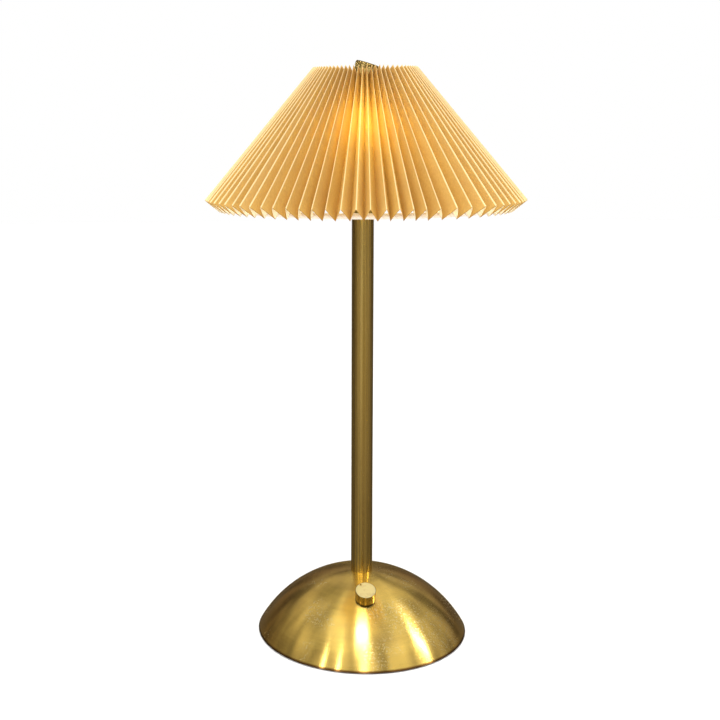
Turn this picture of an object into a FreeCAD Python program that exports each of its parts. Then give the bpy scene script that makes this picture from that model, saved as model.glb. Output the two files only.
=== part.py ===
import FreeCAD, Part
import math
import os
import re
from Sketcher import Constraint

# Table lamp: a spun brass dome base with a rotary dimmer, a plain post, and a tilting head that
# carries a pendant lampholder and a pleated paper shade.  Millimetres, +Z up, the post on the
# Z axis, the dimmer knob towards -Y, the origin on the surface that the lamp stands on.

SIZES = {
    # base
    "base_radius": 93.3, "dome_height": 54.3, "dome_wall": 1.2, "rim_gap": 1.0, "seat_height": 53.9,
    "felt_radius": 86.0, "felt_thick": 1.5, "plate_radius": 88.0, "plate_top": 3.0,
    "weight_outer": 79.0, "weight_inner": 42.0, "weight_top": 15.0,
    "bridge_width": 16.0, "bridge_top": 11.0,
    "screw_radius": 2.0, "screw_head": 3.8, "screw_top": 11.0, "screw_circle": 60.0,
    "rod_radius": 5.0, "rod_bore": 3.5, "rod_bottom": 3.2, "rod_top": 66.0,
    "rod_slot_low": 20.0, "rod_slot_high": 46.0, "rod_slot_width": 6.0,
    "washer_radius": 9.0, "washer_low": 51.4, "washer_high": 52.6,
    "nut_corner": 8.08, "rod_nut_thick": 4.0, "thread_gap": 0.05,
    # cable inlet at the back of the dome
    "inlet_angle": 51.4, "inlet_bore": 3.1, "inlet_neck": 4.45, "inlet_hole": 4.5,
    "inlet_flange": 6.5, "inlet_flange_thick": 1.5,
    # terminal block
    "block_width": 26.0, "block_depth": 14.0, "block_high": 11.0, "block_front": 16.0,
    "block_pitch": 6.0, "tunnel_radius": 1.3, "clamp_screw_radius": 1.5, "clamp_screw_long": 4.0,
    # dimmer, measured outward from the dome's surface along the knob's axis
    "knob_angle": 24.5, "knob_radius": 8.8, "knob_low": 0.6, "knob_high": 11.0, "knob_chamfer": 0.5,
    "knob_recess": 7.6, "knob_recess_high": 3.6, "knob_bore_high": 9.7,
    "dot_radius": 0.9, "dot_depth": 0.4, "dot_reach": 7.2, "dot_angle": 122.5,
    "shaft_radius": 3.0, "shaft_low": -10.0, "shaft_high": 9.5, "shaft_clearance": 0.05,
    "bush_radius": 4.5, "bush_low": -2.6, "bush_high": 3.4, "dimmer_hole": 4.6,
    "dimmer_nut_corner": 7.0, "dimmer_nut_low": 0.05, "dimmer_nut_high": 2.3,
    "dimmer_side": 22.0, "dimmer_low": -15.6, "dimmer_top": -2.6, "dimmer_fillet": 2.0,
    "grub_radius": 1.5, "grub_height": 6.6, "grub_start": 3.1, "grub_end": 8.2,
    # post
    "post_radius": 9.5, "post_wall": 1.2, "post_top": 470.0, "plug_gap": 0.05, "plug_long": 15.0,
    "top_plug_low": 452.0, "shoulder_top": 474.3, "plug_bore": 2.6,
    # swivel, measured from the tilt axis
    "pivot_height": 488.0, "tongue_thick": 6.0, "tongue_width": 14.0, "pivot_radius": 4.0,
    "pivot_bore": 2.7, "pivot_clearance": 0.05, "pivot_front": 17.0, "pivot_rear": 12.8,
    "cap_radius": 10.3, "cap_top": 12.5, "cap_bottom": 8.0, "cap_chamfer": 0.6, "cap_lean": 17.5,
    "slot_half": 3.55, "slot_top": 8.3, "flute_radius": 0.8, "flute_count": 30.0,
    "disc_radius": 7.0, "disc_thick": 0.5, "pivot_nut_corner": 6.9, "collar_radius": 6.0,
    # arm, hanging at the head's own axis in front of the post
    "head_offset": 20.5, "elbow_side": 13.0, "elbow_low": 479.8, "elbow_high": 494.8,
    "elbow_fillet": 1.5, "nipple_radius": 5.0, "nipple_bore": 3.4, "nipple_low": 474.4,
    "nipple_high": 483.7, "elbow_bore": 3.5, "elbow_bore_high": 491.0, "nipple_nut_low": 474.3,
    # lampholder and lamp
    "cup_radius": 10.0, "cup_wall": 0.8, "cup_low": 463.3, "cup_high": 478.3, "cup_roof": 477.1,
    "ceramic_radius": 9.1, "ceramic_low": 465.5, "ceramic_high": 474.0,
    "pin_pitch": 9.0, "pin_radius": 0.95, "contact_inner": 1.05, "contact_outer": 1.5,
    "socket_radius": 1.6, "socket_high": 473.0, "contact_low": 466.0, "pin_high": 472.5,
    "lamp_base_width": 14.0, "lamp_base_depth": 8.0, "lamp_base_low": 456.0, "lamp_base_high": 465.3,
    "lamp_base_fillet": 2.5, "glass_radius": 6.8, "glass_wall": 0.7, "glass_tip": 425.0,
    "led_radius": 3.0, "led_low": 433.0,
    # shade
    "hub_radius": 9.5, "hub_bore": 5.1, "hub_low": 478.3, "hub_high": 479.8,
    "wire_radius": 1.25, "arm_inner": 8.8, "arm_inner_height": 479.7,
    "top_ring_radius": 42.3, "top_ring_height": 476.0,
    "bottom_ring_radius": 116.5, "bottom_ring_height": 381.2, "bottom_wire_radius": 2.2,
    "shade_top_radius": 43.3, "shade_top": 495.8, "shade_low_radius": 133.9, "shade_low": 387.3,
    "pleats": 77.0, "pleat_depth_top": 11.5, "pleat_depth_low": 14.9,
    "paper_top": 3.0, "paper_low": 2.0,
    # wires
    "post_wire_radius": 1.0, "head_wire_radius": 0.8,
}

DOME_BALL = "((base_radius ^ 2 + dome_height ^ 2) / (2 * dome_height))"
BALL = (SIZES["base_radius"] ** 2 + SIZES["dome_height"] ** 2) / (2 * SIZES["dome_height"])
BALL_CENTRE = SIZES["dome_height"] - BALL
BASE_SCREWS = (60.0, 180.0, 300.0)
SPIDER_ARMS = (-90.0, 30.0, 150.0)
TILT_AXIS = FreeCAD.Vector(0, 0, SIZES["pivot_height"])
HEAD_AXIS = FreeCAD.Vector(0, -SIZES["head_offset"], 0)
ALONG_FRONT = FreeCAD.Rotation(FreeCAD.Vector(1, 0, 0), 90)

doc = FreeCAD.newDocument("table_lamp")


def make_sheet():
    """Puts every driving dimension in the spreadsheet, one alias a row."""
    sheet = doc.addObject("Spreadsheet::Sheet", "Sizes")
    for row, (alias, value) in enumerate(SIZES.items(), start=1):
        sheet.set(f"A{row}", alias)
        sheet.set(f"B{row}", str(value))
        sheet.setAlias(f"B{row}", alias)
    doc.recompute()


def sized(text):
    """An expression over the sheet, from one written with bare aliases."""
    return re.sub(r"[a-z]\w*", lambda word: "Sizes." + word[0] if word[0] in SIZES else word[0], text)


def bind(item, **texts):
    for name, text in texts.items():
        item.setExpression(name, sized(text))


def place(item, base=FreeCAD.Vector(), turn=FreeCAD.Rotation()):
    item.Placement = FreeCAD.Placement(base, turn)
    return item


def out_of_dome(angle):
    """The placement on the dome's surface, angle degrees down from its top, with Z pointing out."""
    turn = FreeCAD.Rotation(FreeCAD.Vector(1, 0, 0), angle)
    base = FreeCAD.Vector(0, 0, BALL_CENTRE) + turn.multVec(FreeCAD.Vector(0, 0, BALL))
    return base, turn


# ---- building blocks ----

def plane(body, role):
    return next(item for item in body.Origin.OriginFeatures if item.Role == role)


def new_sketch(body, role, name):
    sketch = body.newObject("Sketcher::SketchObject", name)
    sketch.AttachmentSupport = [(plane(body, role), "")]
    sketch.MapMode = "FlatFace"
    return sketch


def fix_point(sketch, geometry, point, across, up):
    """Ties one end of a line to the sketch's origin by two bound distances."""
    for kind, axis, text in (("DistanceX", -2, across), ("DistanceY", -1, up)):
        if text == "0":
            sketch.addConstraint(Constraint("PointOnObject", geometry, point, axis))
            continue
        value = float(sketch.evalExpression(sized(text)))
        index = sketch.addConstraint(Constraint(kind, -1, 1, geometry, point, value))
        sketch.setExpression(f"Constraints[{index}]", sized(text))


def outline(sketch, corners):
    """A closed polygon whose corners are given by expressions."""
    spots = [
        FreeCAD.Vector(*(float(sketch.evalExpression(sized(text))) for text in corner), 0)
        for corner in corners
    ]
    count = len(spots)
    for index in range(count):
        sketch.addGeometry(Part.LineSegment(spots[index], spots[(index + 1) % count]), False)
    for index in range(count):
        sketch.addConstraint(Constraint("Coincident", index, 2, (index + 1) % count, 1))
    for index, (across, up) in enumerate(corners):
        fix_point(sketch, index, 1, across, up)


def circle(sketch, radius, across="0", up="0"):
    """A circle whose centre and radius are given by expressions."""
    values = [float(sketch.evalExpression(sized(text))) for text in (across, up, radius)]
    index = sketch.GeometryCount
    middle = FreeCAD.Vector(values[0], values[1], 0)
    sketch.addGeometry(Part.Circle(middle, FreeCAD.Vector(0, 0, 1), values[2]), False)
    fix_point(sketch, index, 3, across, up)
    limit = sketch.addConstraint(Constraint("Radius", index, values[2]))
    sketch.setExpression(f"Constraints[{limit}]", sized(radius))


def turned(label, corners):
    """A body turned about Z, from its half section in the XZ plane."""
    body = doc.addObject("PartDesign::Body", label)
    sketch = new_sketch(body, "XZ_Plane", label + "_section")
    outline(sketch, corners)
    spin = body.newObject("PartDesign::Revolution", label + "_turned")
    spin.Profile = sketch
    spin.ReferenceAxis = (sketch, ["V_Axis"])
    spin.Angle = 360
    doc.recompute()
    return body


def ring(label, inner, outer, low, high):
    return turned(label, [(inner, low), (outer, low), (outer, high), (inner, high)])


def cylinder(label, radius, low, high, base=FreeCAD.Vector(), turn=FreeCAD.Rotation()):
    """A primitive cylinder from low to high along the Z axis of the given placement."""
    item = doc.addObject("Part::Cylinder", label)
    bind(item, Radius=radius, Height=f"({high}) - ({low})")
    start = float(item.evalExpression(sized(low)))
    return place(item, base + turn.multVec(FreeCAD.Vector(0, 0, start)), turn)


def block(label, wide, deep, low, high, middle=FreeCAD.Vector(), turn=FreeCAD.Rotation()):
    """A primitive box centred on Z, from low to high."""
    item = doc.addObject("Part::Box", label)
    bind(item, Length=wide, Width=deep, Height=f"({high}) - ({low})")
    doc.recompute()
    start = float(item.evalExpression(sized(low)))
    corner = FreeCAD.Vector(-item.Length.Value / 2, -item.Width.Value / 2, start)
    return place(item, middle + turn.multVec(corner), turn)


def rounded_block(label, wide, deep, low, high, radius):
    """A body padded from a rectangle, with its upright edges rounded."""
    body = doc.addObject("PartDesign::Body", label)
    sketch = new_sketch(body, "XY_Plane", label + "_plan")
    outline(sketch, [
        (f"-{wide} / 2", f"-{deep} / 2"), (f"{wide} / 2", f"-{deep} / 2"),
        (f"{wide} / 2", f"{deep} / 2"), (f"-{wide} / 2", f"{deep} / 2"),
    ])
    bind(sketch, **{"AttachmentOffset.Base.z": low})
    pad = body.newObject("PartDesign::Pad", label + "_pad")
    pad.Profile = sketch
    bind(pad, Length=f"({high}) - ({low})")
    doc.recompute()
    upright = [
        f"Edge{number}"
        for number, edge in enumerate(pad.Shape.Edges, start=1)
        if abs(edge.tangentAt(edge.FirstParameter).z) > 0.99
    ]
    fillet = body.newObject("PartDesign::Fillet", label + "_fillet")
    fillet.Base = (pad, upright)
    bind(fillet, Radius=radius)
    doc.recompute()
    return body


def hexagon(label, corner, low, high, base=FreeCAD.Vector(), turn=FreeCAD.Rotation()):
    item = doc.addObject("Part::Prism", label)
    item.Polygon = 6
    bind(item, Circumradius=corner, Height=f"({high}) - ({low})")
    start = float(item.evalExpression(sized(low)))
    return place(item, base + turn.multVec(FreeCAD.Vector(0, 0, start)), turn)


def joined(label, items):
    group = doc.addObject("Part::MultiFuse", label)
    group.Shapes = items
    return group


def cut(label, whole, *tools):
    item = doc.addObject("Part::Cut", label)
    item.Base = whole
    item.Tool = tools[0] if len(tools) == 1 else joined(label + "_tools", list(tools))
    return item


def pocket(body, sketch, name):
    """Cuts a sketch right through its body, both ways, and checks that it removed something."""
    before = body.Shape.Volume
    feature = body.newObject("PartDesign::Pocket", name)
    feature.Profile = sketch
    feature.Type = "ThroughAll"
    feature.Midplane = True
    doc.recompute()
    if body.Shape.Volume > before - 0.1:
        raise RuntimeError(name + " cuts nothing")
    return feature


def gather(label, shapes):
    """One node of several separate solids."""
    item = doc.addObject("Part::Feature", label)
    item.Shape = Part.makeCompound(shapes) if len(shapes) > 1 else shapes[0]
    return item


def wire_along(points, radius):
    """A round wire along straight runs joined by tangent arcs, each as large as its runs allow."""
    spots = [FreeCAD.Vector(*point) for point in points]
    edges = []
    start = spots[0]
    for before, corner, after in zip(spots, spots[1:], spots[2:]):
        back = before - corner
        ahead = after - corner
        reach = 0.45 * min(back.Length, ahead.Length)
        back.normalize()
        ahead.normalize()
        first = corner + back * reach
        last = corner + ahead * reach
        bisector = (back + ahead).normalize()
        turn = math.pi - back.getAngle(ahead)
        bend = reach / math.tan(turn / 2)
        middle = corner + bisector * (bend / math.cos(turn / 2) - bend)
        print(f"wire bend radius {bend:.1f} mm")
        edges.append(Part.LineSegment(start, first).toShape())
        edges.append(Part.Arc(first, middle, last).toShape())
        start = last
    edges.append(Part.LineSegment(start, spots[-1]).toShape())
    path = Part.Wire(edges)
    section = Part.Wire([Part.makeCircle(radius, spots[0], spots[1] - spots[0])])
    solid = path.makePipeShell([section], True, True)
    expected = math.pi * radius ** 2 * path.Length
    if abs(solid.Volume - expected) > 0.02 * expected:
        raise RuntimeError("a wire's volume is wrong")
    return solid


# ---- base ----

def base_dome():
    ball = doc.addObject("Part::Sphere", "dome_ball")
    bind(ball, Radius=DOME_BALL)
    place(ball, FreeCAD.Vector(0, 0, BALL_CENTRE))
    hollow = doc.addObject("Part::Sphere", "dome_hollow")
    bind(hollow, Radius=DOME_BALL + " - dome_wall")
    place(hollow, FreeCAD.Vector(0, 0, BALL_CENTRE))
    slab = cylinder("dome_slab", "base_radius + 10", "rim_gap", "seat_height")
    cap = doc.addObject("Part::Common", "dome_cap")
    cap.Base = ball
    cap.Tool = slab
    reach = "6 * dome_wall"
    rod_hole = cylinder("rod_hole", "rod_radius + thread_gap", "seat_height - " + reach, "dome_height")
    knob_hole = cylinder("knob_hole", "dimmer_hole", "-" + reach, reach, *out_of_dome(SIZES["knob_angle"]))
    inlet = out_of_dome(-SIZES["inlet_angle"])
    inlet_hole = cylinder("inlet_hole", "inlet_hole", "-" + reach, reach, *inlet)
    return cut("base_dome", cap, hollow, rod_hole, knob_hole, inlet_hole)


def base_weight():
    rim = ring("weight_ring", "weight_inner", "weight_outer", "plate_top", "weight_top")
    bridge = block("weight_bridge", "2 * weight_inner + 4", "bridge_width", "plate_top", "bridge_top")
    casting = joined("weight_casting", [rim, bridge])
    tools = [cylinder("weight_tap", "rod_radius + thread_gap", "plate_top - 1", "weight_top")]
    for angle in BASE_SCREWS:
        tools.append(
            cylinder(
                f"weight_tap_{angle:.0f}", "screw_radius + thread_gap", "plate_top - 1", "screw_top + 1",
                ring_spot("screw_circle", angle),
            )
        )
    cable_way = FreeCAD.Vector(0, SIZES["weight_outer"] - 15, 0)
    tools.append(
        block("weight_cable_way", "bridge_width", "60", "plate_top - 1", "weight_top + 1", cable_way)
    )
    return cut("base_weight", casting, *tools)


def ring_spot(alias, angle):
    """A point on the circle of that radius about the Z axis."""
    way = math.radians(angle)
    return FreeCAD.Vector(math.cos(way), math.sin(way), 0) * SIZES[alias]


def screw_cone(label, spot):
    cone = doc.addObject("Part::Cone", label)
    bind(cone, Radius1="screw_head", Radius2="screw_radius", Height="plate_top - felt_thick")
    return place(cone, spot + FreeCAD.Vector(0, 0, SIZES["felt_thick"]))


def base_plate():
    disc = cylinder("plate_disc", "plate_radius", "felt_thick", "plate_top")
    tools = []
    for angle in BASE_SCREWS:
        spot = ring_spot("screw_circle", angle)
        cone = screw_cone(f"plate_sink_{angle:.0f}", spot)
        bind(cone, Radius1="screw_head + thread_gap", Radius2="screw_radius + thread_gap")
        tools.append(cone)
    return cut("base_plate", disc, *tools)


def base_screws():
    screws = []
    for angle in BASE_SCREWS:
        spot = ring_spot("screw_circle", angle)
        shank = cylinder(f"screw_shank_{angle:.0f}", "screw_radius", "plate_top", "screw_top", spot)
        screws.append(joined(f"screw_{angle:.0f}", [screw_cone(f"screw_cone_{angle:.0f}", spot), shank]))
    group = doc.addObject("Part::Compound", "base_screws")
    group.Links = screws
    return group


def threaded_rod():
    tube = ring("rod_tube", "rod_bore", "rod_radius", "rod_bottom", "rod_top")
    behind = FreeCAD.Vector(0, SIZES["rod_radius"], 0)
    slot = block("rod_slot", "rod_slot_width", "2 * rod_bore", "rod_slot_low", "rod_slot_high", behind)
    return cut("threaded_rod", tube, slot)


def rod_nut():
    prism = hexagon("rod_nut_blank", "nut_corner", "washer_low - rod_nut_thick", "washer_low")
    return cut("rod_nut", prism, cylinder("rod_nut_tap", "rod_radius + thread_gap", "40", "60"))


def cable_grommet():
    flange = "inlet_flange"
    low = "-dome_wall - inlet_flange_thick"
    high = "inlet_flange_thick"
    corners = [
        ("inlet_bore", low), (flange, low), (flange, "-dome_wall - 0.25"), ("inlet_neck", "-dome_wall - 0.25"),
        ("inlet_neck", "0.05"), (flange, "0.05"), (flange, high), ("inlet_bore", high),
    ]
    return place(turned("cable_grommet", corners), *out_of_dome(-SIZES["inlet_angle"]))


def terminal_block():
    middle = FreeCAD.Vector(0, SIZES["block_front"] + SIZES["block_depth"] / 2, 0)
    body = block("block_body", "block_width", "block_depth", "plate_top", "plate_top + block_high", middle)
    tools = []
    for number, across in enumerate(block_poles()):
        mouth = FreeCAD.Vector(across, 0, wire_height())
        tools.append(
            cylinder(
                f"tunnel_{number}", "tunnel_radius", "-block_front - block_depth - 1", "-block_front + 1",
                mouth, ALONG_FRONT,
            )
        )
        top = FreeCAD.Vector(across, middle.y, 0)
        tools.append(
            cylinder(
                f"clamp_hole_{number}", "clamp_screw_radius + thread_gap",
                "plate_top + block_high / 2 + tunnel_radius", "plate_top + block_high + 1", top,
            )
        )
    return cut("terminal_block", body, *tools)


def block_poles():
    pitch = SIZES["block_pitch"]
    return [(number - 1.5) * pitch for number in range(4)]


def wire_height():
    return SIZES["plate_top"] + SIZES["block_high"] / 2


def terminal_screws():
    group = doc.addObject("Part::Compound", "terminal_screws")
    group.Links = [
        cylinder(
            f"clamp_screw_{number}", "clamp_screw_radius",
            "plate_top + block_high - clamp_screw_long", "plate_top + block_high - 0.3",
            FreeCAD.Vector(across, SIZES["block_front"] + SIZES["block_depth"] / 2, 0),
        )
        for number, across in enumerate(block_poles())
    ]
    return group


# ---- dimmer ----

def dimmer_body():
    body = rounded_block(
        "dimmer_body", "dimmer_side", "dimmer_side", "dimmer_low", "dimmer_top", "dimmer_fillet"
    )
    well = new_sketch(body, "XY_Plane", "dimmer_well")
    circle(well, "shaft_radius + 0.4")
    bind(well, **{"AttachmentOffset.Base.z": "dimmer_top"})
    before = body.Shape.Volume
    drilled = body.newObject("PartDesign::Pocket", "dimmer_well_pocket")
    drilled.Profile = well
    bind(drilled, Length="dimmer_top - shaft_low + 0.5")
    doc.recompute()
    if body.Shape.Volume > before - 0.1:
        raise RuntimeError("the dimmer's well cuts nothing")
    return place(body, *out_of_dome(SIZES["knob_angle"]))


def dimmer_bush():
    bush = ring("dimmer_bush", "shaft_radius + shaft_clearance", "bush_radius", "bush_low", "bush_high")
    return place(bush, *out_of_dome(SIZES["knob_angle"]))


def dimmer_nut():
    spot = out_of_dome(SIZES["knob_angle"])
    prism = hexagon("dimmer_nut_blank", "dimmer_nut_corner", "dimmer_nut_low", "dimmer_nut_high", *spot)
    tap = cylinder("dimmer_nut_tap", "bush_radius + thread_gap", "-1", "4", *spot)
    return cut("dimmer_nut", prism, tap)


def dimmer_shaft():
    shaft = turned("dimmer_shaft", [("0", "shaft_low"), ("shaft_radius", "shaft_low"),
                                    ("shaft_radius", "shaft_high"), ("0", "shaft_high")])
    return place(shaft, *out_of_dome(SIZES["knob_angle"]))


def dimmer_knob():
    bore = "shaft_radius + 0.03"
    corners = [
        (bore, "knob_recess_high"), ("knob_recess", "knob_recess_high"), ("knob_recess", "knob_low"),
        ("knob_radius", "knob_low"), ("knob_radius", "knob_high - knob_chamfer"),
        ("knob_radius - knob_chamfer", "knob_high"), ("0", "knob_high"), ("0", "knob_bore_high"),
        (bore, "knob_bore_high"),
    ]
    base, turn = out_of_dome(SIZES["knob_angle"])
    blank = place(turned("knob_blank", corners), base, turn)
    angle = math.radians(SIZES["dot_angle"])
    reach = SIZES["dot_reach"]
    spot = base + turn.multVec(FreeCAD.Vector(reach * math.cos(angle), reach * math.sin(angle), 0))
    dot = cylinder("knob_dot", "dot_radius", "knob_high - dot_depth", "knob_high + 1", spot, turn)
    grub = grub_cylinder("knob_tap", "grub_radius + thread_gap", "grub_end + 2")
    return cut("dimmer_knob", blank, dot, grub)


def grub_cylinder(label, radius, end):
    """A cylinder across the knob, from its shaft out to end, on the side away from the user."""
    base, turn = out_of_dome(SIZES["knob_angle"])
    start = base + turn.multVec(FreeCAD.Vector(0, 0, SIZES["grub_height"]))
    sideways = turn.multiply(FreeCAD.Rotation(FreeCAD.Vector(1, 0, 0), -90))
    return cylinder(label, radius, "grub_start", end, start, sideways)


# ---- post ----

def post_tube():
    return ring("post_tube", "post_radius - post_wall", "post_radius", "seat_height", "post_top")


def post_bottom_plug():
    return ring(
        "post_bottom_plug", "rod_radius + thread_gap", "post_radius - post_wall - plug_gap",
        "seat_height", "seat_height + plug_long",
    )


def post_top_plug():
    """The plug, its shoulder, and the tongue that the head turns on."""
    stem = "post_radius - post_wall - plug_gap"
    plug = turned("plug_turned", [
        ("0", "top_plug_low"), (stem, "top_plug_low"), (stem, "post_top"), ("post_radius", "post_top"),
        ("post_radius", "shoulder_top"), ("0", "shoulder_top"),
    ])
    neck = block("tongue_neck", "tongue_width", "tongue_thick", "shoulder_top - 0.5", "pivot_height")
    half = "tongue_thick / 2"
    head = cylinder("tongue_head", "tongue_width / 2", "-" + half, half, TILT_AXIS, ALONG_FRONT)
    whole = joined("plug_blank", [plug, neck, head])
    lead_bore = cylinder("plug_lead_bore", "plug_bore", "top_plug_low - 1", "pivot_height")
    eye = cylinder("plug_eye", "pivot_radius + pivot_clearance", "-tongue_thick", "tongue_thick",
                   TILT_AXIS, ALONG_FRONT)
    return cut("post_top_plug", whole, lead_bore, eye)


# ---- swivel ----

def swivel_cap():
    """The fluted clevis over the tongue: its own Z leans sideways from the post's."""
    body = turned("swivel_cap", [
        ("0", "-cap_bottom"), ("cap_radius", "-cap_bottom"), ("cap_radius", "cap_top - cap_chamfer"),
        ("cap_radius - cap_chamfer", "cap_top"), ("0", "cap_top"),
    ])
    flute = new_sketch(body, "XY_Plane", "flute_plan")
    circle(flute, "flute_radius", "cap_radius + flute_radius / 2")
    cutter = pocket(body, flute, "flute")
    pattern = body.newObject("PartDesign::PolarPattern", "flutes")
    pattern.Originals = [cutter]
    pattern.Axis = (flute, ["N_Axis"])
    pattern.Angle = 360
    bind(pattern, Occurrences="flute_count")
    body.Tip = pattern
    doc.recompute()
    slot = new_sketch(body, "YZ_Plane", "slot_side")
    outline(slot, [("-slot_half", "-cap_bottom - 1"), ("slot_half", "-cap_bottom - 1"),
                   ("slot_half", "slot_top"), ("-slot_half", "slot_top")])
    pocket(body, slot, "slot")
    eye = new_sketch(body, "XZ_Plane", "eye_front")
    circle(eye, "pivot_radius + pivot_clearance")
    pocket(body, eye, "eye")
    return place(body, TILT_AXIS, FreeCAD.Rotation(FreeCAD.Vector(0, 1, 0), SIZES["cap_lean"]))


def friction_washers():
    washers = []
    for side, low, high in (
        ("front", "tongue_thick / 2", "tongue_thick / 2 + disc_thick"),
        ("rear", "-tongue_thick / 2 - disc_thick", "-tongue_thick / 2"),
    ):
        washer = ring(f"washer_{side}", "pivot_radius + pivot_clearance", "disc_radius", low, high)
        washers.append(place(washer, TILT_AXIS, ALONG_FRONT))
    group = doc.addObject("Part::Compound", "friction_washers")
    group.Links = washers
    return group


def pivot_tube():
    tube = place(ring("pivot_blank", "pivot_bore", "pivot_radius", "-pivot_rear", "pivot_front"),
                 TILT_AXIS, ALONG_FRONT)
    window = block("pivot_window", "2 * pivot_bore + 1.4", "tongue_thick - 1",
                   "pivot_height - pivot_radius - 1", "pivot_height - pivot_radius / 3")
    return cut("pivot_tube", tube, window)


def pivot_nut():
    across = (TILT_AXIS, ALONG_FRONT)
    nut = hexagon("pivot_nut_blank", "pivot_nut_corner", "-pivot_rear", "-cap_radius", *across)
    tap = cylinder("pivot_nut_tap", "pivot_radius + thread_gap", "-20", "0", *across)
    return cut("pivot_nut", nut, tap)


def pivot_collar():
    back = "head_offset - elbow_side / 2"
    collar = ring("pivot_collar", "pivot_radius + pivot_clearance", "collar_radius", "cap_radius", back)
    return place(collar, TILT_AXIS, ALONG_FRONT)


# ---- arm ----

def arm_elbow():
    blank = rounded_block(
        "elbow_blank", "elbow_side", "elbow_side", "elbow_low", "elbow_high", "elbow_fillet"
    )
    place(blank, HEAD_AXIS)
    thread = cylinder(
        "elbow_thread", "nipple_radius + thread_gap", "elbow_low - 1", "nipple_high + 0.1", HEAD_AXIS
    )
    well = cylinder("elbow_well", "elbow_bore", "elbow_low", "elbow_bore_high", HEAD_AXIS)
    back = "head_offset - elbow_side / 2 - 1"
    socket = cylinder(
        "elbow_socket", "pivot_radius + thread_gap", back, "pivot_front + 0.1", TILT_AXIS, ALONG_FRONT
    )
    way = cylinder("elbow_way", "pivot_bore", "pivot_front", "head_offset", TILT_AXIS, ALONG_FRONT)
    return cut("arm_elbow", blank, thread, well, socket, way)


def arm_nipple():
    nipple = ring("arm_nipple", "nipple_bore", "nipple_radius", "nipple_low", "nipple_high")
    return place(nipple, HEAD_AXIS)


def nipple_nut():
    nut = hexagon("nipple_nut_blank", "nut_corner", "nipple_nut_low", "cup_roof", HEAD_AXIS)
    tap = cylinder("nipple_nut_tap", "nipple_radius + thread_gap", "cup_low", "cup_high", HEAD_AXIS)
    return cut("nipple_nut", nut, tap)


# ---- lampholder and lamp ----

def lampholder_cup():
    inside = "cup_radius - cup_wall"
    hole = "nipple_radius + thread_gap"
    cup = turned("lampholder_cup", [
        (hole, "cup_roof"), (inside, "cup_roof"), (inside, "cup_low"), ("cup_radius", "cup_low"),
        ("cup_radius", "cup_high - 1"), ("cup_radius - 1", "cup_high"), (hole, "cup_high"),
    ])
    return place(cup, HEAD_AXIS)


def pin_spots():
    half = SIZES["pin_pitch"] / 2
    return [HEAD_AXIS + FreeCAD.Vector(side * half, 0, 0) for side in (-1, 1)]


def lampholder_body():
    blank = cylinder("ceramic_blank", "ceramic_radius", "ceramic_low", "ceramic_high", HEAD_AXIS)
    sockets = [
        cylinder(f"ceramic_socket_{number}", "socket_radius", "ceramic_low - 1", "socket_high", spot)
        for number, spot in enumerate(pin_spots())
    ]
    return cut("lampholder_body", blank, *sockets)


def pair(label, make):
    """A group of two like pieces, one at each lamp pin."""
    group = doc.addObject("Part::Compound", label)
    group.Links = [make(number, spot) for number, spot in enumerate(pin_spots())]
    return group


def lampholder_contacts():
    return pair("lampholder_contacts", lambda number, spot: place(
        ring(f"contact_{number}", "contact_inner", "contact_outer", "contact_low", "socket_high - 0.1"), spot
    ))


def lamp_pins():
    return pair("lamp_pins", lambda number, spot: cylinder(
        f"pin_{number}", "pin_radius", "lamp_base_high", "pin_high", spot
    ))


def lamp_base():
    base = rounded_block(
        "lamp_base", "lamp_base_width", "lamp_base_depth", "lamp_base_low", "lamp_base_high",
        "lamp_base_fillet",
    )
    return place(base, HEAD_AXIS)


def capsule(label, radius, tip, top):
    """A cylinder with a round lower end."""
    ball = doc.addObject("Part::Sphere", label + "_end")
    bind(ball, Radius=radius)
    size = float(ball.evalExpression(sized(radius)))
    low = float(ball.evalExpression(sized(tip))) + size
    place(ball, HEAD_AXIS + FreeCAD.Vector(0, 0, low))
    barrel = cylinder(label + "_barrel", radius, f"{tip} + {radius}", top, HEAD_AXIS)
    return joined(label, [ball, barrel])


def lamp_glass():
    outside = capsule("glass_outside", "glass_radius", "glass_tip", "lamp_base_low")
    inside = capsule(
        "glass_inside", "(glass_radius - glass_wall)", "glass_tip + glass_wall", "lamp_base_low + 1"
    )
    return cut("lamp_glass", outside, inside)


def lamp_led():
    return place(turned("lamp_led", [("0", "led_low"), ("led_radius", "led_low"),
                                     ("led_radius", "lamp_base_low"), ("0", "lamp_base_low")]), HEAD_AXIS)


# ---- shade ----

def shade_spider():
    """The welded wire fitter: a hub under the elbow, three arms and the top ring."""
    hub = place(ring("spider_hub", "hub_bore", "hub_radius", "hub_low", "hub_high"), HEAD_AXIS)
    hoop = doc.addObject("Part::Torus", "spider_hoop")
    bind(hoop, Radius1="top_ring_radius", Radius2="wire_radius")
    place(hoop, HEAD_AXIS + FreeCAD.Vector(0, 0, SIZES["top_ring_height"]))
    pieces = [hub, hoop]
    for angle in SPIDER_ARMS:
        inner_height = FreeCAD.Vector(0, 0, SIZES["arm_inner_height"])
        outer_height = FreeCAD.Vector(0, 0, SIZES["top_ring_height"])
        start = HEAD_AXIS + ring_spot("arm_inner", angle) + inner_height
        end = HEAD_AXIS + ring_spot("top_ring_radius", angle) + outer_height
        arm = doc.addObject("Part::Cylinder", f"spider_arm_{angle:.0f}")
        bind(arm, Radius="wire_radius")
        arm.Height = (end - start).Length
        pieces.append(place(arm, start, FreeCAD.Rotation(FreeCAD.Vector(0, 0, 1), end - start)))
    return joined("shade_spider", pieces)


def bottom_ring():
    hoop = doc.addObject("Part::Torus", "bottom_ring")
    bind(hoop, Radius1="bottom_ring_radius", Radius2="bottom_wire_radius")
    return place(hoop, HEAD_AXIS + FreeCAD.Vector(0, 0, SIZES["bottom_ring_height"]))


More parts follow.
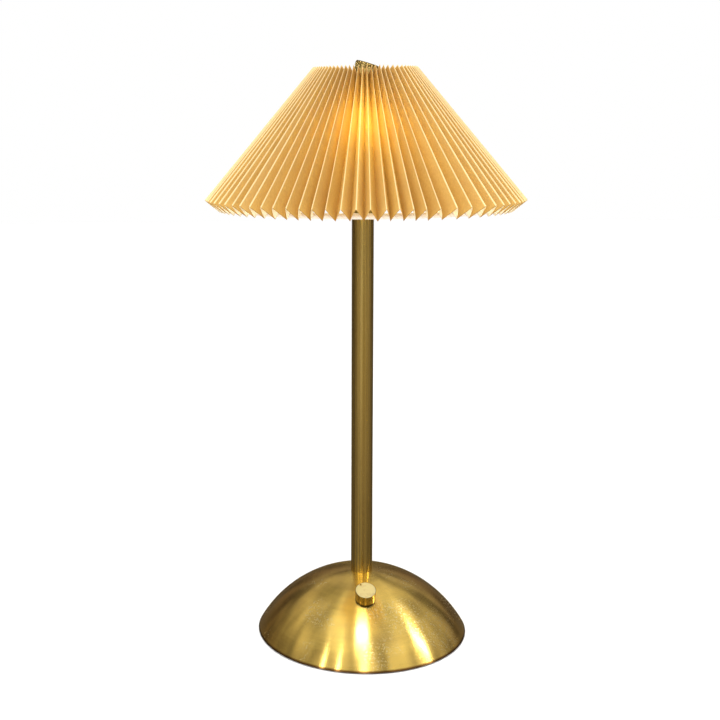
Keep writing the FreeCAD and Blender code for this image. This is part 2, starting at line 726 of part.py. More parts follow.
def pleated_shade():
    """A zigzag of thin panels, cut square to the folds, so that each fold's ends are staggered."""
    sheet = doc.getObject("Sizes")
    top = FreeCAD.Vector(sheet.shade_top_radius, 0, sheet.shade_top)
    low = FreeCAD.Vector(sheet.shade_low_radius, 0, sheet.shade_low)
    slope = (low - top).normalize()
    inward = FreeCAD.Vector(slope.z, 0, -slope.x)
    count = 2 * int(sheet.pleats)

    def zigzag(end, outer, inner):
        """One edge of one face of the paper: its corners lie outer and inner deep, in turn."""
        corners = []
        for number in range(count):
            deep = inner if number % 2 else outer
            spot = end + inward * deep
            spin = FreeCAD.Rotation(FreeCAD.Vector(0, 0, 1), 360.0 * number / count)
            corners.append(spin.multVec(spot))
        return corners

    loops = [
        zigzag(top, 0, sheet.pleat_depth_top - sheet.paper_top),
        zigzag(low, 0, sheet.pleat_depth_low - sheet.paper_low),
        zigzag(low, sheet.paper_low, sheet.pleat_depth_low),
        zigzag(top, sheet.paper_top, sheet.pleat_depth_top),
    ]
    faces = []
    for first, second in zip(loops, loops[1:] + loops[:1]):
        for number in range(count):
            ahead = (number + 1) % count
            for corners in (
                (first[number], second[number], first[ahead]),
                (first[ahead], second[number], second[ahead]),
            ):
                faces.append(Part.Face(Part.makePolygon(corners + corners[:1])))
    return place(gather("pleated_shade", [Part.Solid(Part.Shell(faces))]), HEAD_AXIS)


# ---- wires ----

def post_wires():
    """The two cores from the terminal block, through the rod's slot and up the post."""
    tops = wire_height()
    high = SIZES["pivot_height"] - SIZES["pivot_radius"] - 0.4
    poles = block_poles()
    routes = [
        [(pole, 20, tops), (pole, 11.5, tops), (beside, 9.5, 24), (inside, 0, 42), (inside, 0, high)]
        for pole, beside, inside in ((poles[2], 0.0, -1.1), (poles[3], 2.6, 1.1))
    ]
    return gather("post_wires", [wire_along(route, SIZES["post_wire_radius"]) for route in routes])


def dimmer_wires():
    """The two cores from the dimmer, over the weight's bridge, to the terminal block."""
    base, turn = out_of_dome(SIZES["knob_angle"])
    tops = wire_height()
    routes = []
    poles = block_poles()
    for across, passing, pole in ((-9, -11, poles[0]), (-4, -8, poles[1])):
        start = base + turn.multVec(FreeCAD.Vector(across, 0, SIZES["dimmer_low"] - 0.4))
        routes.append([
            tuple(start), (across - 1, -33, 20), (passing, -14, 17.4), (passing, 4.5, 17.5),
            (pole, 12.6, tops), (pole, 20, tops),
        ])
    return gather("dimmer_wires", [wire_along(route, SIZES["post_wire_radius"]) for route in routes])


def head_wires():
    """The two cores through the hollow pivot, round the elbow and down to the lampholder."""
    front = -SIZES["head_offset"]
    high = SIZES["pivot_height"]
    routes = [
        [(side, 2.2, high), (side, front + 6, high), (side, front + 1.2, high - 1.6),
         (side, front, high - 6), (side, front, SIZES["ceramic_high"] + 0.2)]
        for side in (-1.0, 1.0)
    ]
    return gather("head_wires", [wire_along(route, SIZES["head_wire_radius"]) for route in routes])


def build():
    make_sheet()
    nodes = [
        base_dome(), base_weight(), base_plate(),
        ring("felt_pad", "0", "felt_radius", "0", "felt_thick"),
        base_screws(), threaded_rod(), rod_nut(),
        ring("rod_washer", "rod_radius + thread_gap", "washer_radius", "washer_low", "washer_high"),
        cable_grommet(), terminal_block(), terminal_screws(),
        dimmer_body(), dimmer_bush(), dimmer_nut(), dimmer_shaft(), dimmer_knob(),
        grub_cylinder("knob_screw", "grub_radius", "grub_end"),
        post_tube(), post_bottom_plug(), post_top_plug(),
        swivel_cap(), friction_washers(), pivot_tube(), pivot_nut(), pivot_collar(),
        arm_elbow(), arm_nipple(), nipple_nut(),
        lampholder_cup(), lampholder_body(), lampholder_contacts(),
        lamp_base(), lamp_pins(), lamp_glass(), lamp_led(),
        shade_spider(), bottom_ring(), pleated_shade(),
        post_wires(), dimmer_wires(), head_wires(),
    ]
    doc.recompute()
    return nodes


def check(nodes):
    """Stops before anything is written if an object failed or a piece isn't a valid solid."""
    for item in doc.Objects:
        if {"Invalid", "Error"} & set(item.State):
            raise RuntimeError(f"{item.Label} failed: {item.State}")
    for node in nodes:
        if node.Shape.isNull() or not node.Shape.isValid() or not node.Shape.Solids:
            raise RuntimeError(f"{node.Label} isn't a valid solid")


def export(nodes):
    os.makedirs("parts", exist_ok=True)
    for node in nodes:
        node.Shape.exportStep(os.path.join("parts", node.Label + ".step"))
        print(f"{node.Label}: {len(node.Shape.Solids)} solids, {node.Shape.Volume / 1000:.2f} cm3")


made = build()
check(made)
export(made)
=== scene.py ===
import math
import random
from collections import namedtuple

import bpy
from mathutils import Matrix, Vector


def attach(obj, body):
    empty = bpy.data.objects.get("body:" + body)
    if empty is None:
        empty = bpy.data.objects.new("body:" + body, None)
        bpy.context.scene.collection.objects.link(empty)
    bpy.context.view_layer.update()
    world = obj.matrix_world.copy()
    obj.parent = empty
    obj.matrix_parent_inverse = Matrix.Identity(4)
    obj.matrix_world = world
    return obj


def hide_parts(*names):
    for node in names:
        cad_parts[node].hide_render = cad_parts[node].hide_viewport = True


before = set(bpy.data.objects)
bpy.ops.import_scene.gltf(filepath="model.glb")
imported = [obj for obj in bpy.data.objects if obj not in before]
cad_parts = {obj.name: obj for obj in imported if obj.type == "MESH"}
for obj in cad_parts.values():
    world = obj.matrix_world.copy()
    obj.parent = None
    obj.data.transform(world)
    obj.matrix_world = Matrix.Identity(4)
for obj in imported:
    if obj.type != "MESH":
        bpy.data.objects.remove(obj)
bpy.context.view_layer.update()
rng = random.Random(77)

# Table lamp: spun brass base, drawn brass post, tilting head with a pleated paper shade.
# Metres; the post stands on the Z axis and the dimmer knob faces -Y.

HEAD = Vector((0.0, -0.0205, 0.0))     # the axis that the lampholder and the shade share

KNOB = Vector((0.0, -0.044499, 0.044638))
KNOB_LEAN = math.radians(24.5)
KNOB_HEIGHT = 0.011

RIM_FADE = (0.0018, 0.0030)            # heights between which the dome's darker band along its bottom edge fades out

PLEATS = 77
PAPER_ROWS = 28                        # rows of faces from the shade's top to its bottom
RIDGE = ((0.0433, 0.4958), (0.1339, 0.3873))    # an outer fold's two ends, as radius and height
VALLEY = ((0.03452, 0.48844), (0.12246, 0.37775))
WIDTH_SPREAD = 0.10                    # how uneven the pleats are, as a share of their width
SEAM_PLEAT = 64.0                      # the pleat where the paper's ends meet, and how it widens
SEAM_REACH = 1.6
SEAM_EXTRA = 0.35
VALLEY_SPREAD = 0.05
PANEL_BOW = (-0.0002, 0.0007)
PANEL_TONE = (0.12, 0.12)              # mean and spread
PANEL_SHARES = (0.0, 0.045, 0.085, 0.22, 0.4, 0.6, 0.78, 0.92)    # columns from a ridge to its valley
FOLD_SHARE = 0.06                      # columns nearer the ridge than this count as the fold
CREASE_ANGLE = math.radians(28)

NOISE_LOW = 0.3                        # nearly all of a noise's values lie between these two
NOISE_HIGH = 0.7


# ---- node helpers ----

class Nodes:
    """Short calls for the nodes that the finishes and the room share."""

    FIRST_COLOUR = 6                   # sockets of a colour Mix node, whose names aren't unique
    SECOND_COLOUR = 7
    MIXED_COLOUR = 2

    def __init__(self, tree):
        self.tree = tree
        tree.nodes.clear()

    def add(self, kind, **settings):
        node = self.tree.nodes.new(kind)
        for name, value in settings.items():
            setattr(node, name, value)
        return node

    def feed(self, socket, value):
        if isinstance(value, bpy.types.NodeSocket):
            self.tree.links.new(value, socket)
        else:
            socket.default_value = value

    def maths(self, operation, first, second=0.0):
        node = self.add("ShaderNodeMath", operation=operation)
        self.feed(node.inputs[0], first)
        self.feed(node.inputs[1], second)
        return node.outputs[0]

    def vector(self, operation, first, second=(0.0, 0.0, 0.0)):
        node = self.add("ShaderNodeVectorMath", operation=operation)
        self.feed(node.inputs[0], first)
        self.feed(node.inputs[1], second)
        return node.outputs["Value" if operation in ("LENGTH", "DOT_PRODUCT") else "Vector"]

    def split(self, vector):
        node = self.add("ShaderNodeSeparateXYZ")
        self.feed(node.inputs[0], vector)
        return node.outputs

    def join(self, x, y, z):
        node = self.add("ShaderNodeCombineXYZ")
        for socket, value in zip(node.inputs, (x, y, z)):
            self.feed(socket, value)
        return node.outputs[0]

    def noise(self, vector, scale=1.0, detail=3.0, roughness=0.55):
        node = self.add("ShaderNodeTexNoise")
        self.feed(node.inputs["Vector"], vector)
        self.feed(node.inputs["Scale"], scale)
        self.feed(node.inputs["Detail"], detail)
        self.feed(node.inputs["Roughness"], roughness)
        return node.outputs[0]

    def stretch(self, value, low, high, to_low=0.0, to_high=1.0):
        """value from low..high to to_low..to_high, clamped."""
        node = self.add("ShaderNodeMapRange")
        self.feed(node.inputs["Value"], value)
        self.feed(node.inputs["From Min"], low)
        self.feed(node.inputs["From Max"], high)
        self.feed(node.inputs["To Min"], to_low)
        self.feed(node.inputs["To Max"], to_high)
        return node.outputs[0]

    def spread(self, noise, to_low=0.0, to_high=1.0):
        """A noise stretched to to_low..to_high."""
        return self.stretch(noise, NOISE_LOW, NOISE_HIGH, to_low, to_high)

    def mix(self, share, first, second):
        node = self.add("ShaderNodeMix", data_type="RGBA")
        self.feed(node.inputs["Factor"], share)
        self.feed(node.inputs[self.FIRST_COLOUR], first)
        self.feed(node.inputs[self.SECOND_COLOUR], second)
        return node.outputs[self.MIXED_COLOUR]

    def two_tone(self, noise, dark, light):
        return self.mix(self.spread(noise), dark, light)

    def is_mirrored(self):
        """1 where a reflection looks, 0 where the camera or soft light does."""
        return self.add("ShaderNodeLightPath").outputs["Is Glossy Ray"]


class Finish(Nodes):
    """One material: a principled surface and the calls that drive it."""

    def __init__(self, name, **values):
        self.material = bpy.data.materials.new(name)
        self.material.use_nodes = True
        super().__init__(self.material.node_tree)
        self.output = self.add("ShaderNodeOutputMaterial")
        self.surface = self.add("ShaderNodeBsdfPrincipled")
        self.show(self.surface)
        self.place = self.add("ShaderNodeTexCoord").outputs["Object"]
        for socket, value in values.items():
            self.set(socket.replace("_", " "), value)

    def show(self, shader):
        self.feed(self.output.inputs["Surface"], shader.outputs[0])

    def set(self, socket, value):
        self.feed(self.surface.inputs[socket], value)

    def attribute(self, name):
        return self.add("ShaderNodeAttribute", attribute_name=name).outputs["Fac"]

    def bump(self, height, strength, distance):
        node = self.add("ShaderNodeBump")
        self.feed(node.inputs["Strength"], strength)
        self.feed(node.inputs["Distance"], distance)
        self.feed(node.inputs["Height"], height)
        self.set("Normal", node.outputs[0])

    def about_axis(self, centre=(0.0, 0.0, 0.0), lean=0.0):
        """A point's x, y and height from centre, beside an axis that leans about X."""
        local = self.vector("SUBTRACT", self.place, tuple(centre))
        if lean:
            turn = self.add("ShaderNodeVectorRotate", rotation_type="X_AXIS")
            self.feed(turn.inputs["Vector"], local)
            self.feed(turn.inputs["Angle"], lean)
            local = turn.outputs[0]
        return self.split(local)


def colour(red, green, blue):
    return (red, green, blue, 1.0)


# ---- metals ----

def spun_brass():
    """The dome: concentric brushing from the spinning lathe, lacquer patina, a darker band along its bottom
    edge.
    """
    f = Finish("spun_brass", Metallic=1.0, Anisotropic=0.93, Anisotropic_Rotation=0.25)
    f.set("Tangent", f.add("ShaderNodeTangent", direction_type="RADIAL", axis="Z").outputs[0])
    x, y, height = f.about_axis()
    flat = f.join(x, y, 0.0)
    far = f.vector("LENGTH", flat)
    way_x, way_y, _ = f.split(f.vector("NORMALIZE", flat))

    def rings(around, outward):
        """A seamless noise, stretched round the axis."""
        spot = f.join(
            f.maths("MULTIPLY", way_x, around),
            f.maths("MULTIPLY", way_y, around),
            f.maths("MULTIPLY", far, outward),
        )
        return f.noise(spot, detail=2.0)

    fine = rings(1.6, 5200.0)
    broad = rings(0.7, 160.0)
    stain = f.noise(f.place, 38.0, 4.0, 0.6)
    specks = f.stretch(f.noise(f.place, 520.0, 3.0, 0.7), 0.52, 0.66)
    speck_zones = f.stretch(f.noise(f.place, 22.0, 2.0), 0.5, 0.62)
    speck = f.maths("MULTIPLY", specks, speck_zones)

    tint = f.two_tone(fine, colour(0.76, 0.52, 0.12), colour(0.85, 0.61, 0.16))
    tint = f.mix(f.stretch(broad, 0.35, 0.7, 0.0, 0.45), tint, colour(0.60, 0.40, 0.10))
    tint = f.mix(f.stretch(stain, 0.52, 0.75, 0.0, 0.4), tint, colour(0.62, 0.42, 0.14))
    tint = f.mix(f.maths("MULTIPLY", speck, 0.6), tint, colour(0.97, 0.85, 0.50))
    # A darker band along the bottom edge, a few millimetres tall.
    tint = f.mix(f.stretch(height, *RIM_FADE, 1.0, 0.0), tint, colour(0.16, 0.075, 0.02))
    f.set("Base Color", tint)
    f.set("Roughness", f.maths("ADD", f.spread(fine, 0.19, 0.25), f.maths("MULTIPLY", speck, 0.1)))
    f.bump(fine, strength=0.05, distance=0.00003)
    return f.material


def drawn_brass():
    """The post: lengthwise drawing lines under lacquer."""
    f = Finish("drawn_brass", Metallic=1.0)
    streak = f.noise(f.vector("MULTIPLY", f.place, (900.0, 900.0, 5.0)))
    wide = f.noise(f.vector("MULTIPLY", f.place, (210.0, 210.0, 2.5)), detail=2.0)
    stain = f.noise(f.place, 30.0, 4.0)
    tint = f.two_tone(streak, colour(0.50, 0.36, 0.10), colour(0.78, 0.60, 0.22))
    tint = f.mix(f.stretch(wide, 0.4, 0.7, 0.0, 0.5), tint, colour(0.46, 0.31, 0.08))
    tint = f.mix(f.stretch(stain, 0.55, 0.8, 0.0, 0.4), tint, colour(0.42, 0.27, 0.08))
    f.set("Base Color", tint)
    f.set("Roughness", f.spread(streak, 0.2, 0.36))
    f.bump(streak, strength=0.15, distance=0.00005)
    return f.material


def knob_brass():
    """The knob: a face painted pale as a reflection of bright light, with faint turning rings, a polished
    side and a painted shadow at its foot.
    """
    f = Finish("knob_brass", Metallic=1.0)
    x, y, height = f.about_axis(KNOB, -KNOB_LEAN)
    far = f.vector("LENGTH", f.join(x, y, 0.0))
    rings = f.noise(f.join(0.0, 0.0, f.maths("MULTIPLY", far, 5200.0)), detail=2.0)
    scuff = f.noise(f.place, 160.0, 4.0)
    face = f.stretch(height, KNOB_HEIGHT - 0.0004, KNOB_HEIGHT - 0.0001)
    foot_shadow = f.stretch(height, 0.0008, 0.0026)

    # The face's pale tint is a painted reflection of bright light; its rings are the real turning marks.
    top = f.two_tone(rings, colour(0.78, 0.70, 0.36), colour(0.92, 0.87, 0.52))
    top = f.mix(f.stretch(scuff, 0.5, 0.75, 0.0, 0.5), top, colour(0.50, 0.33, 0.10))
    # Painted shadow: the side darkens to near black towards the knob's foot.
    side = f.mix(foot_shadow, colour(0.05, 0.03, 0.01), colour(0.46, 0.33, 0.10))
    f.set("Base Color", f.mix(face, side, top))
    rough = f.maths("ADD", f.spread(rings, 0.08, 0.18), f.stretch(scuff, 0.5, 0.8, 0.0, 0.1))
    f.set("Roughness", f.maths("ADD", rough, f.maths("MULTIPLY", face, 0.3)))
    f.bump(rings, strength=0.2, distance=0.00004)
    return f.material


# ---- plain finishes ----

def grained(name, dark, light, scale, roughness, strength=0.4, depth=0.0001,
            stretched=(1.0, 1.0, 1.0), **values):
    """A finish of two tones broken up by a fine and a coarse noise."""
    f = Finish(name, **values)
    fine = f.noise(f.vector("MULTIPLY", f.place, stretched), scale, 4.0, 0.6)
    coarse = f.noise(f.place, scale * 0.12)
    tint = f.mix(f.stretch(fine, 0.32, 0.68), colour(*dark), colour(*light))
    worn = colour(*(0.7 * part for part in dark))
    f.set("Base Color", f.mix(f.stretch(coarse, 0.5, 0.75, 0.0, 0.5), tint, worn))
    f.set("Roughness", f.spread(fine, *roughness))
    f.bump(fine, strength, depth)
    return f.material


def cap_brass():
    return grained(
        "cap_brass", (0.35, 0.25, 0.08), (0.45, 0.33, 0.115), 900.0, (0.2, 0.3),
        strength=0.12, depth=0.00003, stretched=(1.0, 1.0, 0.3), Metallic=1.0,
    )


def zinc_plate():
    return grained(
        "zinc_plate", (0.42, 0.43, 0.43), (0.66, 0.67, 0.66), 700.0, (0.28, 0.42),
        depth=0.00004, Metallic=1.0,
    )


def lacquered_wire():
    return grained(
        "lacquered_wire", (0.44, 0.30, 0.09), (0.66, 0.48, 0.18), 900.0, (0.25, 0.4),
        depth=0.00004, Metallic=1.0,
    )


def cast_iron():
    return grained(
        "cast_iron", (0.020, 0.020, 0.021), (0.045, 0.045, 0.046), 420.0, (0.55, 0.8),
        strength=0.7, depth=0.0003,
    )


def pressed_felt():
    return grained(
        "pressed_felt", (0.010, 0.013, 0.011), (0.030, 0.036, 0.031), 1300.0, (0.9, 1.0),
        strength=0.8, depth=0.0004, Sheen_Weight=0.4,
    )


def rubber():
    return grained("rubber", (0.012, 0.012, 0.012), (0.024, 0.024, 0.024), 800.0, (0.5, 0.65))


def black_plastic():
    return grained(
        "black_plastic", (0.014, 0.014, 0.015), (0.03, 0.03, 0.03), 1500.0, (0.35, 0.5),
        depth=0.00006,
    )


def white_plastic():
    return grained(
        "white_plastic", (0.68, 0.67, 0.62), (0.76, 0.75, 0.70), 1200.0, (0.3, 0.42),
        depth=0.00004,
    )


def glazed_ceramic():
    return grained(
        "glazed_ceramic", (0.74, 0.72, 0.66), (0.84, 0.82, 0.76), 260.0, (0.12, 0.22),
        depth=0.00008, Coat_Weight=0.5,
    )


def wire_sleeve():
    return grained(
        "wire_sleeve", (0.50, 0.44, 0.32), (0.62, 0.56, 0.43), 900.0, (0.3, 0.4),
        depth=0.00004,
    )


def pressed_fibre():
    return grained("pressed_fibre", (0.16, 0.035, 0.014), (0.24, 0.06, 0.025), 900.0, (0.6, 0.8))


# ---- the lamp and the shade ----

def frosted_glass():
    f = Finish("frosted_glass", IOR=1.46, Transmission_Weight=0.85)
    etch = f.noise(f.place, 1800.0)
    f.set("Base Color", f.two_tone(etch, colour(0.97, 0.93, 0.84), colour(1.0, 0.98, 0.93)))
    f.set("Roughness", f.spread(etch, 0.3, 0.5))
    f.bump(etch, strength=0.2, distance=0.00004)
    return f.material


def phosphor():
    """The lamp's lit strips under the glass."""
    f = Finish("phosphor", Roughness=0.6, Emission_Strength=5.0, Emission_Color=colour(1.0, 0.74, 0.36))
    grain = f.noise(f.place, 1500.0)
    f.set("Base Color", f.two_tone(grain, colour(0.95, 0.75, 0.30), colour(1.0, 0.85, 0.45)))
    return f.material


def tape():
    """The cotton tape wound round the shade's bottom ring: diagonal turns over a plain weave."""
    f = Finish("cotton_tape", Roughness=0.9)
    x, y, height = f.about_axis(HEAD)
    around = f.maths("MULTIPLY", f.maths("ARCTAN2", y, x), 150.0)
    upward = f.maths("MULTIPLY", height, 1400.0)
    wound = f.maths("SINE", f.maths("ADD", around, upward))
    weave = f.noise(f.place, 1500.0)
    tint = f.two_tone(weave, colour(0.78, 0.66, 0.54), colour(0.90, 0.80, 0.69))
    f.set("Base Color", f.mix(f.stretch(wound, 0.75, 1.0, 0.0, 0.5), tint, colour(0.66, 0.49, 0.40)))
    f.bump(f.maths("ADD", f.maths("MULTIPLY", wound, 0.5), weave), strength=0.5, distance=0.0002)
    return f.material


def paper():
    """The shade: warm dyed paper that passes the lamp's light, paler along the outer folds, partly its own
    creased colour and partly a painted highlight, with painted shade in the valleys and along the bottom
    edge.

    The mesh says where a point lies: fold is 1 on an outer fold, deep runs from 0 on the ridge to
    1 in the valley, along runs from 0 at the top edge to 1 at the bottom, tone differs by panel.
    """
    f = Finish("pleated_paper", Roughness=0.82, Specular_IOR_Level=0.25)
    fold, deep, along, tone = (f.attribute(name) for name in ("fold", "deep", "along", "tone"))
    fibre = f.noise(f.vector("MULTIPLY", f.place, (1.0, 1.0, 0.55)), 900.0, 4.0, 0.65)
    cloud = f.noise(f.place, 60.0)
    # Painted shade: the panels darken towards their valleys, most near the top edge.
    valley = f.maths("MULTIPLY", f.stretch(deep, 0.4, 1.0), f.stretch(along, 0.0, 0.7, 0.95, 0.22))
    top_cut = f.stretch(along, 0.0, 0.006, 0.8, 0.0)
    # Painted shade along the paper's bottom cut edge.
    low_edge_shade = f.stretch(along, 0.9955, 0.9985)

    tint = f.two_tone(fibre, colour(0.50, 0.29, 0.076), colour(0.61, 0.375, 0.105))
    tint = f.mix(f.stretch(cloud, 0.4, 0.7, 0.0, 0.35), tint, colour(0.46, 0.245, 0.07))
    tint = f.mix(tone, tint, colour(0.60, 0.39, 0.15))
    # Painted shade in the valleys.
    tint = f.mix(valley, tint, colour(0.24, 0.088, 0.016))
    # Paler outer folds: partly the creased paper's own colour, partly a painted highlight where the folds
    # catch light.
    tint = f.mix(f.maths("MULTIPLY", fold, 0.95), tint, colour(0.93, 0.74, 0.40))
    tint = f.mix(top_cut, tint, colour(0.80, 0.62, 0.32))
    # Painted shade darkens the bottom cut edge.
    tint = f.mix(f.maths("MULTIPLY", low_edge_shade, 0.8), tint, colour(0.20, 0.085, 0.02))
    inside = f.two_tone(fibre, colour(0.80, 0.72, 0.52), colour(0.90, 0.83, 0.64))
    is_inside = f.add("ShaderNodeNewGeometry").outputs["Backfacing"]
    f.set("Base Color", f.mix(is_inside, tint, inside))
    f.bump(fibre, strength=0.25, distance=0.00008)

    through = f.add("ShaderNodeBsdfTranslucent")
    panel_glow = f.mix(deep, colour(0.88, 0.63, 0.10), colour(0.80, 0.43, 0.045))
    f.feed(through.inputs["Color"], f.mix(fold, panel_glow, colour(1.0, 0.8, 0.35)))
    both = f.add("ShaderNodeMixShader")
    f.feed(both.inputs["Fac"], 0.15)
    f.feed(both.inputs[1], f.surface.outputs[0])
    f.feed(both.inputs[2], through.outputs[0])
    f.show(both)
    return f.material


FINISHES = {           # by the CAD nodes' material slots
    "brass_brushed": spun_brass(),
    "brass_polished": cap_brass(),
    "steel_zinc": zinc_plate(),
    "iron": cast_iron(),
    "felt": pressed_felt(),
    "rubber_black": rubber(),
    "plastic_black": black_plastic(),
    "plastic_white": white_plastic(),
    "ceramic_white": glazed_ceramic(),
    "wire_sleeve": wire_sleeve(),
    "fibre": pressed_fibre(),
    "lamp_glass": frosted_glass(),
    "lamp_emitter": phosphor(),
    "shade_paper": paper(),
    "shade_wire": lacquered_wire(),
    "shade_tape": tape(),
}
OWN_FINISHES = {       # by node, where it differs from its slot's finish
    "post_tube": drawn_brass(),
    "dimmer_knob": knob_brass(),
    "lampholder_cup": FINISHES["brass_polished"],
}


def dress_cad_nodes():
    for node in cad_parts.values():
        for holder in node.material_slots:
            holder.material = FINISHES[holder.material.name.split(".")[0]]
    for name, finish in OWN_FINISHES.items():
        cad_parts[name].material_slots[0].material = finish


dress_cad_nodes()


# ---- the pleated shade ----

Column = namedtuple("Column", "ridge_angle valley_angle deep bow tone")


def fold_angles():
    """Where the folds lie: a hand-pleated rhythm, wider where the paper's ends meet."""
    widths = []
    for number in range(PLEATS):
        seam = math.exp(-((number - SEAM_PLEAT) / SEAM_REACH) ** 2)
        widths.append(1.0 + rng.uniform(-WIDTH_SPREAD, WIDTH_SPREAD) + SEAM_EXTRA * seam)
    scale = 2 * math.pi / sum(widths)
    ridges = []
    angle = 0.0
    for width in widths:
        ridges.append(angle)
        angle += width * scale
    valleys = [
        ridge + width * scale * (0.5 + rng.uniform(-VALLEY_SPREAD, VALLEY_SPREAD))
        for ridge, width in zip(ridges, widths)
    ]
    return ridges, valleys


def paper_columns():
    """The paper's columns of points, in order round the shade: in from a ridge, then out to the next."""
    ridges, valleys = fold_angles()
    ahead = ridges[1:] + [ridges[0] + 2 * math.pi]
    inward = PANEL_SHARES
    outward = (1.0,) + PANEL_SHARES[:0:-1]
    columns = []
    for ridge, valley, next_ridge in zip(ridges, valleys, ahead):
        for start, shares in ((ridge, inward), (next_ridge, outward)):
            bow = rng.uniform(*PANEL_BOW)
            tone = max(0.0, rng.gauss(*PANEL_TONE))
            columns += [Column(start, valley, share, bow, tone) for share in shares]
    return columns


def on_fold(line, angle, along):
    (top_radius, top_height), (low_radius, low_height) = line
    radius = top_radius + (low_radius - top_radius) * along
    height = top_height + (low_height - top_height) * along
    return Vector((radius * math.cos(angle), radius * math.sin(angle), height))


def on_paper(column, along):
    """A point of the panel, bowed outward between its folds, more so towards the bottom."""
    ridge = on_fold(RIDGE, column.ridge_angle, along)
    valley = on_fold(VALLEY, column.valley_angle, along)
    side = (valley - ridge).cross(Vector((0.0, 0.0, 1.0))).normalized()
    outward = Vector((math.cos(column.ridge_angle), math.sin(column.ridge_angle), 0.0))
    if side.dot(outward) <= 0:
        side = -side
    bow = column.bow * math.sin(math.pi * column.deep) * (0.35 + 0.65 * along)
    return HEAD + ridge.lerp(valley, column.deep) + side * bow


def pleated_paper():
    columns = paper_columns()
    count = len(columns)
    rows = [row / PAPER_ROWS for row in range(PAPER_ROWS + 1)]
    spots = [on_paper(column, along) for along in rows for column in columns]
    faces = []
    for row in range(PAPER_ROWS):
        for column in range(count):
            ahead = (column + 1) % count
            upper = row * count
            lower = upper + count
            faces.append((upper + column, lower + column, lower + ahead, upper + ahead))
    mesh = bpy.data.meshes.new("pleated_paper")
    mesh.from_pydata(spots, [], faces)

    for label, domain, values in (
        ("fold", "POINT", [float(column.deep < FOLD_SHARE) for column in columns] * len(rows)),
        ("deep", "POINT", [column.deep for column in columns] * len(rows)),
        ("along", "POINT", [along for along in rows for _ in columns]),
        ("tone", "FACE", [column.tone for column in columns] * PAPER_ROWS),
    ):
        layer = mesh.attributes.new(label, "FLOAT", domain)
        layer.data.foreach_set("value", values)
    mesh.shade_smooth()
    mesh.set_sharp_from_angle(angle=CREASE_ANGLE)
    mesh.materials.append(FINISHES["shade_paper"])
    piece = bpy.data.objects.new("pleated_paper", mesh)
    bpy.context.collection.objects.link(piece)
    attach(piece, "head")
    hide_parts("pleated_shade")


pleated_paper()


# ---- lights, room and floor ----

BASE_SPOT = Vector((0.0, 0.0, 0.03))


def add_light(name, kind, place, power, tint, glossy=True, diffuse=True):
    """A light that faces the base."""
    data = bpy.data.lights.new(name, kind)
    data.energy = power
    data.color = tint
    item = bpy.data.objects.new(name, data)
    item.location = place
    item.rotation_euler = (BASE_SPOT - Vector(place)).to_track_quat("-Z", "Y").to_euler()
    item.visible_glossy = glossy
    item.visible_diffuse = diffuse
    bpy.context.collection.objects.link(item)
    return item


def softbox(name, place, power, tint, width, length, diffuse=True):
    data = add_light(name, "AREA", place, power, tint, diffuse=diffuse).data
    data.shape = "RECTANGLE"
    data.size = width
    data.size_y = length


def lights():
    neutral = (1.0, 0.99, 0.97)
    warm = (1.0, 0.98, 0.95)
    softbox("softbox_over", (-0.03, -0.62, 1.55), 8.5, neutral, width=0.3, length=0.2)
    softbox("softbox_low", (-0.03, -1.5, 0.85), 2.2, (1.0, 0.99, 0.95), width=0.22, length=0.9, diffuse=False)
    softbox("softbox_right", (1.28, -0.28, 0.98), 5.6, warm, width=0.12, length=0.55)
    softbox("strip_left", (-1.02, -0.92, 0.88), 1.5, neutral, width=0.03, length=0.4)
    softbox("strip_front_left", (-0.67, -1.15, 0.94), 1.3, neutral, width=0.025, length=0.4)
    sky = add_light("sky", "SUN", (-0.6, -1.6, 2.4), 0.75, (1.0, 0.995, 0.985), glossy=False)
    sky.data.angle = math.radians(100)


def lamp_glow():
    """The light that the lit lamp gives; it tilts with the head."""
    glow = add_light("lamp_glow", "POINT", (-0.003, -0.070, 0.435), 0.36, (1.0, 0.95, 0.78), glossy=False)
    glow.data.shadow_soft_size = 0.008
    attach(glow, "head")


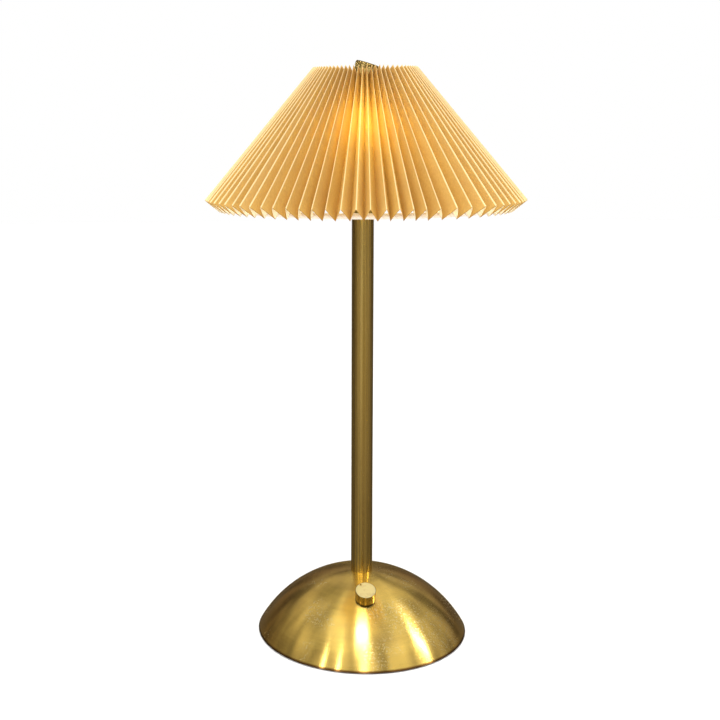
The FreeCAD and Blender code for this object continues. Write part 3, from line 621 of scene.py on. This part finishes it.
def room():
    """A white surround; only reflections see a patchy room that brightens towards its ceiling."""
    world = bpy.data.worlds.new("studio")
    world.use_nodes = True
    bpy.context.scene.world = world
    n = Nodes(world.node_tree)
    way = n.add("ShaderNodeTexCoord").outputs["Generated"]
    patches = n.stretch(n.noise(way, scale=4.2, detail=2.0, roughness=0.5), 0.42, 0.58, 0.35, 1.6)
    upward = n.stretch(n.vector("DOT_PRODUCT", way, (0.08, -0.26, 0.962)), -0.1, 0.95)
    walls = n.mix(n.maths("POWER", upward, 1.3), colour(0.12, 0.085, 0.058), colour(1.08, 1.05, 0.96))
    patchy = n.add("ShaderNodeVectorMath", operation="SCALE")
    n.feed(patchy.inputs[0], walls)
    n.feed(patchy.inputs["Scale"], patches)
    shine = n.add("ShaderNodeBackground")
    n.feed(shine.inputs["Color"], n.mix(n.is_mirrored(), colour(1.0, 1.0, 0.998), patchy.outputs[0]))
    n.feed(n.add("ShaderNodeOutputWorld").inputs["Surface"], shine.outputs[0])


def floor_finish():
    """A pale floor, shown darker to reflections, and darkest behind the lamp."""
    f = Finish("pale_floor", Roughness=0.7, Specular_IOR_Level=0.1)
    pale = f.mix(f.noise(f.place, 3.0), colour(0.88, 0.88, 0.875), colour(0.92, 0.92, 0.915))
    behind = f.stretch(f.split(f.place)[1], -1.3, 0.1)
    mirror_tone = f.mix(behind, colour(0.35, 0.29, 0.2), colour(0.07, 0.055, 0.04))
    f.set("Base Color", f.mix(f.is_mirrored(), pale, mirror_tone))
    return f.material


def floor():
    size = 9.0
    steps = 12
    level = -0.0002
    edges = [size * (step / steps - 0.5) for step in range(steps + 1)]
    spots = [(x, y, level) for y in edges for x in edges]
    faces = []
    for row in range(steps):
        for column in range(steps):
            near = row * (steps + 1) + column
            far = near + steps + 1
            faces.append((near, near + 1, far + 1, far))
    mesh = bpy.data.meshes.new("floor")
    mesh.from_pydata(spots, [], faces)
    mesh.materials.append(floor_finish())
    piece = bpy.data.objects.new("floor", mesh)
    bpy.context.collection.objects.link(piece)


lights()
lamp_glow()
room()
floor()


# ---- camera ----

CAMERA_SPOT = Vector((-0.0715, -0.9740, 0.4455))
CAMERA_YAW = -0.007
CAMERA_PITCH = 0.1392
CAMERA_ROLL = 0.0056


def camera():
    view = bpy.data.cameras.new("camera")
    view.sensor_width = 36.0
    view.lens = 56.75
    view.shift_x = 0.1
    view.shift_y = -0.1
    view.clip_start = 0.01
    level = math.cos(CAMERA_PITCH)
    ahead = Vector((-math.sin(CAMERA_YAW) * level, math.cos(CAMERA_YAW) * level, -math.sin(CAMERA_PITCH)))
    watcher = bpy.data.objects.new("camera", view)
    watcher.matrix_world = (
        Matrix.Translation(CAMERA_SPOT)
        @ Matrix.Rotation(CAMERA_ROLL, 4, ahead)
        @ ahead.to_track_quat("-Z", "Y").to_matrix().to_4x4()
    )
    bpy.context.collection.objects.link(watcher)
    bpy.context.scene.camera = watcher


camera()
bpy.context.scene.view_settings.view_transform = "Standard"
